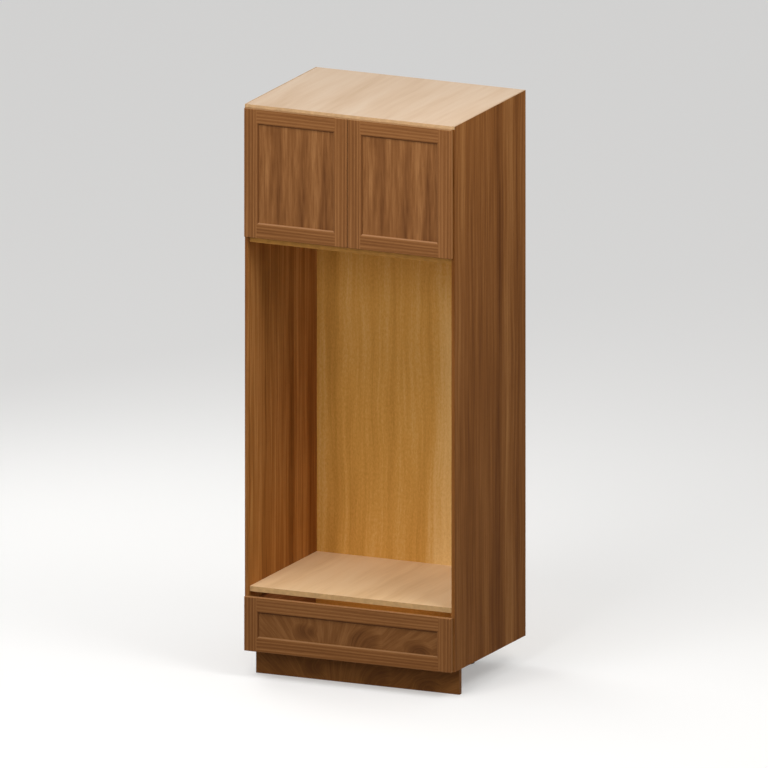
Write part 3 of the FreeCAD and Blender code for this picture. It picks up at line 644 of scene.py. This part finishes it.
def screwStand(points):
    # where a plain screw's head ends, which way it faces and how long the screw is
    low, high = boxOf(points)
    axis = max(range(3), key=lambda i: high[i] - low[i])
    middle = (low + high) / 2

    def girth(end):
        ring = [p - middle for p in points if abs(p[axis] - end) < skin]
        return max(math.hypot(p[axis - 1], p[axis - 2]) for p in ring)

    outward = 1 if girth(high[axis]) > girth(low[axis]) else -1
    top = middle.copy()
    top[axis] = high[axis] if outward > 0 else low[axis]
    facing = Vector((0, 0, 0))
    facing[axis] = outward
    return top, facing, high[axis] - low[axis]


def crossOutline(one):
    # the edges of the cross recess, with a point in the middle of each side
    far, near = screwSpec["slotReach"], screwSpec["slotHalf"]
    corners = []
    for quarter in range(4):
        turned = Matrix.Rotation(quarter * math.pi / 2, 3, "Z")
        corners += [turned @ Vector(p) for p in ((far, -near, 0), (far, near, 0), (near, near, 0))]
    verts = [one.verts.new(p) for p in corners]
    sides = [one.edges.new((verts[i - 1], verts[i])) for i in range(len(verts))]
    halves = bmesh.ops.subdivide_edges(one, edges=sides, cuts=1)["geom"]
    return list(set(sides) | {part for part in halves if isinstance(part, bmesh.types.BMEdge)})


def addScrew(mesh, top, facing, length):
    # rings from the tip up to the head's crown, then the cross sunk into the crown
    spec = screwSpec
    one = bmesh.new()
    seat = -spec["headHeight"]
    steps = [(spec["tipRadius"], -length)]
    height = -length + spec["tip"]
    while height < seat - spec["threadPitch"]:
        steps.append((spec["shankRadius"], height))
        steps.append((spec["shankRadius"] - spec["threadDepth"], height + spec["threadPitch"] / 2))
        height += spec["threadPitch"]
    steps.append((spec["shankRadius"], seat))
    steps += [(spec["headRadius"] * wide, seat * deep) for wide, deep in spec["crown"]]
    rings = [ringOf(one, r, z, spec["segments"]) for r, z in steps]
    cross = crossOutline(one)
    rings.append(cross)
    for lower, upper in zip(rings, rings[1:]):
        bmesh.ops.bridge_loops(one, edges=lower + upper)
    sunk = vertsIn(bmesh.ops.extrude_edge_only(one, edges=cross)["geom"])
    bmesh.ops.translate(one, verts=sunk, vec=(0, 0, -spec["slotDepth"]))
    bmesh.ops.holes_fill(one, edges=one.edges[:], sides=0)
    faceOut(one)
    if one.calc_volume(signed=True) < 0:  # a short screw comes out turned round
        bmesh.ops.reverse_faces(one, faces=one.faces[:])
    turned = Vector((0, 0, 1)).rotation_difference(facing).to_matrix().to_4x4()
    join(mesh, one, Matrix.Translation(top) @ turned)


for node in slotOf:
    if node.endswith("_screws"):
        mesh = bmesh.new()
        for part in looseParts(node):
            addScrew(mesh, *screwStand(part))
        addPiece(node, "threaded", mesh)
print("screws made")

# Feet: a rounded pad, a ribbed grip collar and a threaded stem that winds into the socket.
footSpec = {
    "segments": 48, "padRound": 0.0025, "collarFoot": 0.0075, "ribs": 18, "ribPoints": 4,
    "ribDepth": 0.0016, "threadPitch": 0.003, "threadDepth": 0.0011, "crest": (0.4, 0.6),
    "stemChamfer": 0.002,
}


def addCollar(mesh, centre, radius, neck, top):
    # half of each rib's points stand back to the neck
    spec = footSpec
    count = spec["ribs"] * spec["ribPoints"]
    ring = bmesh.ops.create_circle(mesh, radius=radius, segments=count, cap_ends=True)["verts"]
    for number, vert in enumerate(ring):
        if number % spec["ribPoints"] >= spec["ribPoints"] / 2:
            vert.co *= neck / radius
    bmesh.ops.translate(mesh, verts=ring, vec=(centre.x, centre.y, spec["collarFoot"]))
    base = list(ring[0].link_faces)
    lifted = extrude(mesh, base, (0, 0, top - spec["collarFoot"]))
    collar = set(ring) | set(lifted)
    shell = [face for face in mesh.faces if any(vert in collar for vert in face.verts)]
    bmesh.ops.recalc_face_normals(mesh, faces=shell)


def addFoot(node):
    spec = footSpec
    points = [vert.co for vert in frame["nodes"][node].data.vertices]
    low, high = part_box(node)
    centre = (Vector(low) + Vector(high)) / 2
    padTop, mouth, stemTop = levelsOf(points, 2)[-3:]

    def girth(height):
        ring = [p for p in points if abs(p.z - height) < skin]
        return max(math.hypot(p.x - centre.x, p.y - centre.y) for p in ring)

    padRadius, collarRadius, stemRadius = girth(low[2]), girth(mouth), girth(stemTop)
    neck = collarRadius - spec["ribDepth"]
    core = stemRadius - spec["threadDepth"]
    ease = spec["padRound"]
    profile = [(0, low[2]), (padRadius - ease / 2, low[2]), (padRadius, low[2] + ease / 2)]
    profile += [
        (padRadius - ease + ease * math.cos(a), padTop - ease + ease * math.sin(a))
        for a in quarterArc()
    ]
    profile += [(neck, padTop), (neck, mouth), (core, mouth)]
    height = mouth + spec["threadPitch"] / 2
    while height < stemTop - spec["stemChamfer"] - spec["threadPitch"]:
        profile.append((core, height))
        profile += [(stemRadius, height + spec["threadPitch"] * share) for share in spec["crest"]]
        height += spec["threadPitch"]
    profile += [(core, height), (stemRadius - spec["stemChamfer"], stemTop), (0, stemTop)]
    mesh = bmesh.new()
    spunForm(mesh, profile, centre, spec["segments"])
    addCollar(mesh, centre, collarRadius, neck, mouth)
    addPiece(node, "ribbed", mesh)


for node in ("front_left_foot", "front_right_foot", "back_left_foot", "back_right_foot"):
    addFoot(node)
print("feet made")

# Sockets: a turned flange and tube with a rounded root, and webs between the screws.
socketSpec = {
    "segments": 48, "ease": 0.0008, "root": 0.003, "webTurns": (30, 150, 270), "webDrop": 0.014,
    "webReach": 0.012, "webHalf": 0.0012, "webRound": 0.0004,
}


def addWeb(mesh, centre, turn, tubeRadius, under):
    # a thin three-cornered web from the tube to the flange
    spec = socketSpec
    inner = tubeRadius - spec["root"] / 2
    corners = [(inner, under), (tubeRadius + spec["webReach"], under), (inner, under - spec["webDrop"])]
    one = bmesh.new()
    face = one.faces.new([one.verts.new((r, -spec["webHalf"], z)) for r, z in corners])
    extrude(one, [face], (0, 2 * spec["webHalf"], 0))
    roundEdges(one, one.edges[:], spec["webRound"])
    faceOut(one)
    turned = Matrix.Rotation(math.radians(turn), 4, "Z")
    join(mesh, one, Matrix.Translation((centre.x, centre.y, 0)) @ turned)


def addSocket(mesh, points):
    spec = socketSpec
    low, high = boxOf(points)
    centre = (low + high) / 2
    mouth, roof, under, top = levelsOf(points, 2)
    reaches = [(math.hypot(p.x - centre.x, p.y - centre.y), p.z) for p in points]
    flange = max(r for r, z in reaches)
    rings = [r for r, z in reaches if abs(z - mouth) < skin]
    bore = min(rings)
    tube = max(rings) * math.cos(2 * math.pi / len(rings))  # inside the flats of the plain tube
    ease, root = spec["ease"], spec["root"]
    profile = [(0, top), (flange - ease, top), (flange, top - ease)]
    profile += [(flange, under + ease), (flange - ease, under)]
    profile += [
        (tube + root - root * math.sin(a), under - root + root * math.cos(a)) for a in quarterArc()
    ]
    profile += [(tube, mouth + ease), (tube - ease, mouth), (bore, mouth), (bore, roof), (0, roof)]
    one = bmesh.new()
    spunForm(one, profile, centre, spec["segments"])
    join(mesh, one)
    for turn in spec["webTurns"]:
        addWeb(mesh, centre, turn, tube, under)


mesh = bmesh.new()
for part in looseParts("leg_sockets"):
    addSocket(mesh, part)
addPiece("leg_sockets", "turned", mesh)
print("sockets made")

# Hinge cups: a pressed dish with a thin rim, two ears under the screws, and lugs that hold the pin.
cupSpec = {
    "segments": 48, "corner": 0.002, "rim": 0.0008, "lowRim": 0.0001, "earRadius": 0.006,
    "earSegments": 32, "earRound": 0.0003, "lugRound": 0.0006, "lugSegments": 3, "lugRoom": 0.00005,
}
toDoor = Matrix.Rotation(math.pi / 2, 4, "X")  # shapes are made lying down, and this stands them up


def addDish(mesh, stand, outer, inner, depths, plate):
    # the rim is high between the ears and low on the hinge side, where the link swings over it
    spec = cupSpec
    floor, inside, back, seat = (-depth for depth in depths)
    bend, rim = spec["corner"], spec["rim"]
    profile = [(0, floor)]
    profile += [
        (outer - bend + bend * math.sin(a), floor - bend + bend * math.cos(a)) for a in quarterArc()
    ]
    profile += [(outer, back), (outer + rim, back), (outer + rim, seat + rim / 2)]
    profile += [(outer + rim / 2, seat), (inner + rim / 2, seat), (inner, seat + rim / 2)]
    profile += [
        (inner - bend + bend * math.cos(a), inside - bend + bend * math.sin(a)) for a in quarterArc()
    ]
    profile.append((0, inside))
    one = bmesh.new()
    spunForm(one, profile, Vector((0, 0, 0)), spec["segments"])
    middle, halfWidth = plate[:2]
    way = math.copysign(1, middle)
    for vert in one.verts:
        if vert.co.x * way < abs(middle) - halfWidth:
            vert.co.z = max(vert.co.z, back - spec["lowRim"])
    join(mesh, one, stand)


def addEar(mesh, stand, side, plate, outer, back, seat):
    # a round end under the screw, widened towards the dish and shaped to its rim
    spec = cupSpec
    radius = spec["earRadius"]
    middle, halfWidth, halfHeight = plate
    rise = halfHeight - radius
    one = bmesh.new()
    count = spec["earSegments"]
    made = bmesh.ops.create_circle(one, cap_ends=True, radius=radius, segments=count)["verts"]
    for vert in made:
        if vert.co.y < -skin:
            vert.co.x *= halfWidth / radius
            vert.co.y = math.sqrt(max(outer ** 2 - (vert.co.x + middle) ** 2, 0)) - rise
    bmesh.ops.translate(one, verts=made, vec=(middle, rise, -back))
    bmesh.ops.scale(one, verts=made, vec=(1, side, 1))
    extrude(one, one.faces[:], (0, 0, back - seat))
    roundEdges(one, one.edges[:], spec["earRound"], clamp=True)
    faceOut(one)
    join(mesh, one, stand)


def addLug(mesh, corners, inside, back):
    (x0, x1), (z0, z1) = extents(corners, (0, 2))
    one = bmesh.new()
    bmesh.ops.create_cube(one, size=1.0)
    bmesh.ops.scale(one, verts=one.verts[:], vec=(x1 - x0, back - inside, z1 - z0))
    middle = ((x0 + x1) / 2, (inside + back) / 2, (z0 + z1) / 2)
    bmesh.ops.translate(one, verts=one.verts[:], vec=middle)
    roundEdges(one, one.edges[:], cupSpec["lugRound"], cupSpec["lugSegments"])
    join(mesh, one)


def addCup(mesh, points):
    levels = levelsOf(points, 1)
    floor, inside, back, seat = levels[0], levels[1], levels[-2], levels[-1]
    foot = [p for p in points if abs(p.y - floor) < skin]
    x, z = (sum(pair) / 2 for pair in extents(foot, (0, 2)))

    def ring(depth):
        return [math.hypot(p.x - x, p.z - z) for p in points if abs(p.y - depth) < skin]

    flats = math.cos(math.pi / len(foot))  # the round cup lies inside the flats of the plain one
    outer = max(ring(floor)) * flats
    inner = max(ring(inside)) * flats
    stand = Matrix.Translation((x, 0, z)) @ toDoor
    (x0, x1), (z0, z1) = extents([p for p in points if abs(p.y - seat) < skin], (0, 2))
    plate = ((x0 + x1) / 2 - x, (x1 - x0) / 2, (z1 - z0) / 2)
    addDish(mesh, stand, outer, inner, (floor, inside, back, seat), plate)
    level = [p for p in points if abs(p.y - back) < skin]
    lugs = [p for p in level if math.hypot(p.x - x, p.z - z) < inner - cupSpec["lugRoom"]]
    for side in (-1, 1):
        addEar(mesh, stand, side, plate, outer, back, seat)
        addLug(mesh, [p for p in lugs if (p.z - z) * side > 0], inside, back)


for node in ("left_hinge_cups", "right_hinge_cups"):
    mesh = bmesh.new()
    for part in looseParts(node):
        addCup(mesh, part)
    addPiece(node, "pressed", mesh)
print("hinge cups made")

# Other hardware: the frame's own forms with eased outer edges, bent corners on the runners' folded
# steel, and two adjusting screws on each hinge arm.
easedSpec = {
    "hinge_plates": {"ease": 0.0005},
    "hinge_arms": {"ease": 0.0004, "screwsAlong": (0.4, 0.66), "screwLength": 0.009},
    "hinge_links": {"ease": 0.0003},
    "runner_rail": {"ease": 0.0002, "bend": 0.0012},
    "runner_middle": {"ease": 0.0002, "bend": 0.0012},
    "runner_slide": {"ease": 0.0002, "bend": 0.0012},
    "toe_kick_clips": {"ease": 0.0004},
}
easeRule = {"flat": 1, "sharp": 30, "smooth": 20, "bendSegments": 4, "leastEdge": 1e-5}


def sharpEdges(mesh):
    least = math.radians(easeRule["sharp"])
    return [edge for edge in mesh.edges if edge.calc_face_angle_signed(0) > least]


def foldEdges(mesh, bend):
    # a fold runs from end to end, between faces that are wider than the steel is thick
    longest = max(edge.calc_length() for edge in mesh.edges)
    return [
        edge for edge in sharpEdges(mesh)
        if edge.calc_length() > longest / 2
        and all(face.calc_area() > 2 * bend * edge.calc_length() for face in edge.link_faces)
    ]


def addEased(node, spec):
    mesh = bmesh.new()
    mesh.from_mesh(frame["nodes"][node].data)
    bmesh.ops.remove_doubles(mesh, verts=mesh.verts[:], dist=shapeSpec["merge"])
    flat = math.radians(easeRule["flat"])
    bmesh.ops.dissolve_limit(mesh, angle_limit=flat, verts=mesh.verts[:], edges=mesh.edges[:])
    limits = extents([vert.co for vert in mesh.verts], (0, 1, 2))
    if "bend" in spec:
        roundEdges(mesh, foldEdges(mesh, spec["bend"]), spec["bend"], easeRule["bendSegments"])
    roundEdges(mesh, sharpEdges(mesh), spec["ease"])
    for vert in mesh.verts:  # where a fold ends, the bevel can push a corner out
        vert.co = [min(max(place, low), high) for place, (low, high) in zip(vert.co, limits)]
    bmesh.ops.triangulate(mesh, faces=mesh.faces[:])
    bmesh.ops.dissolve_degenerate(mesh, dist=easeRule["leastEdge"], edges=mesh.edges[:])
    if "screwsAlong" in spec:
        for part in looseParts(node):
            (x0, x1), (y0, y1), (z0, z1) = extents(part, (0, 1, 2))
            face, way = (x1, 1) if x1 < 0 else (x0, -1)
            x = face + way * screwSpec["headHeight"]
            for share in spec["screwsAlong"]:
                top = Vector((x, y0 + share * (y1 - y0), (z0 + z1) / 2))
                addScrew(mesh, top, Vector((way, 0, 0)), spec["screwLength"])
    addPiece(node, "eased", mesh, easeRule["smooth"])


for kind, spec in easedSpec.items():
    for node in slotOf:
        if node in (kind, f"left_{kind}", f"right_{kind}"):
            addEased(node, spec)
print("hardware eased")

# Stage: a pale floor that throws little light back, soft light all round and a lamp in the drawer bay.
stageSpec = {
    "floorHalf": 40.0, "seen": paint(212, 211, 209), "bounce": paint(120, 118, 115), "floorRough": 0.9,
    "glow": 0.3, "worldLevel": 0.48,
}
bpy.ops.mesh.primitive_plane_add(size=2 * stageSpec["floorHalf"], location=(0, 0, 0))
floor = bpy.context.object
floor.name = "floor"
floorFinish = Finish("floor_paint")
path = floorFinish.add("ShaderNodeLightPath", {}).outputs
straight = floorFinish.calc("MAXIMUM", path["Is Camera Ray"], path["Is Glossy Ray"])
straight = floorFinish.calc("MAXIMUM", straight, path["Is Transmission Ray"])
seen = floorFinish.mix(straight, stageSpec["bounce"], stageSpec["seen"])
glow = floorFinish.times(straight, stageSpec["glow"])
shine = {"Emission Color": grey(1.0), "Emission Strength": glow}
floorFinish.surface(seen, stageSpec["floorRough"], **shine)
floor.data.materials.append(floorFinish.material)

world = bpy.data.worlds.new("studio")
bpy.context.scene.world = world
world.use_nodes = True
sky = world.node_tree.nodes["Background"]
sky.inputs["Color"].default_value = grey(1.0)
sky.inputs["Strength"].default_value = stageSpec["worldLevel"]

lamps = {
    "overhead": {"place": (-0.2, -3.2, 6.0), "aim": (0, 0, 1.2), "size": 2.4, "power": 98},
    "front_key": {"place": (-0.1, -3.6, 2.4), "aim": (0, 0, 1.1), "size": 2.0, "power": 50},
    "right_fill": {"place": (2.4, -1.0, 3.4), "aim": (0, 0, 1.2), "size": 1.6, "power": 48},
    "left_fill": {"place": (-2.8, 1.8, 2.6), "aim": (0, 0, 1.1), "size": 2.0, "power": 42},
    "drawer_bay": {"place": (-0.12, 0, 0.308), "aim": (-0.12, 0, 0), "size": 0.5, "power": 0.46},
}
for name, spec in lamps.items():
    light = bpy.data.lights.new(name, "AREA")
    light.size = spec["size"]
    light.energy = spec["power"]
    lamp = bpy.data.objects.new(name, light)
    lamp.location = spec["place"]
    ray = Vector(spec["aim"]) - Vector(spec["place"])
    lamp.rotation_euler = ray.to_track_quat("-Z", "Y").to_euler()
    lamp.visible_camera = False
    bpy.context.scene.collection.objects.link(lamp)

# Camera: level lines stay parallel, seen from the front right and a little above.
cameraSpec = {
    "azimuth": 24.66, "elevation": 13.82, "span": 2.789, "aim": (-0.0050, 0.0105, 1.0676),
    "distance": 6.0,
}
turn = math.radians(cameraSpec["azimuth"])
rise = math.radians(cameraSpec["elevation"])
back = Vector((math.sin(turn) * math.cos(rise), -math.cos(turn) * math.cos(rise), math.sin(rise)))
cameraData = bpy.data.cameras.new("camera")
cameraData.type = "ORTHO"
cameraData.ortho_scale = cameraSpec["span"]
camera = bpy.data.objects.new("camera", cameraData)
camera.location = Vector(cameraSpec["aim"]) + back * cameraSpec["distance"]
camera.rotation_euler = (-back).to_track_quat("-Z", "Y").to_euler()
bpy.context.scene.collection.objects.link(camera)
bpy.context.scene.camera = camera
bpy.context.scene.view_settings.view_transform = "Standard"
print("stage, lamps and camera set")
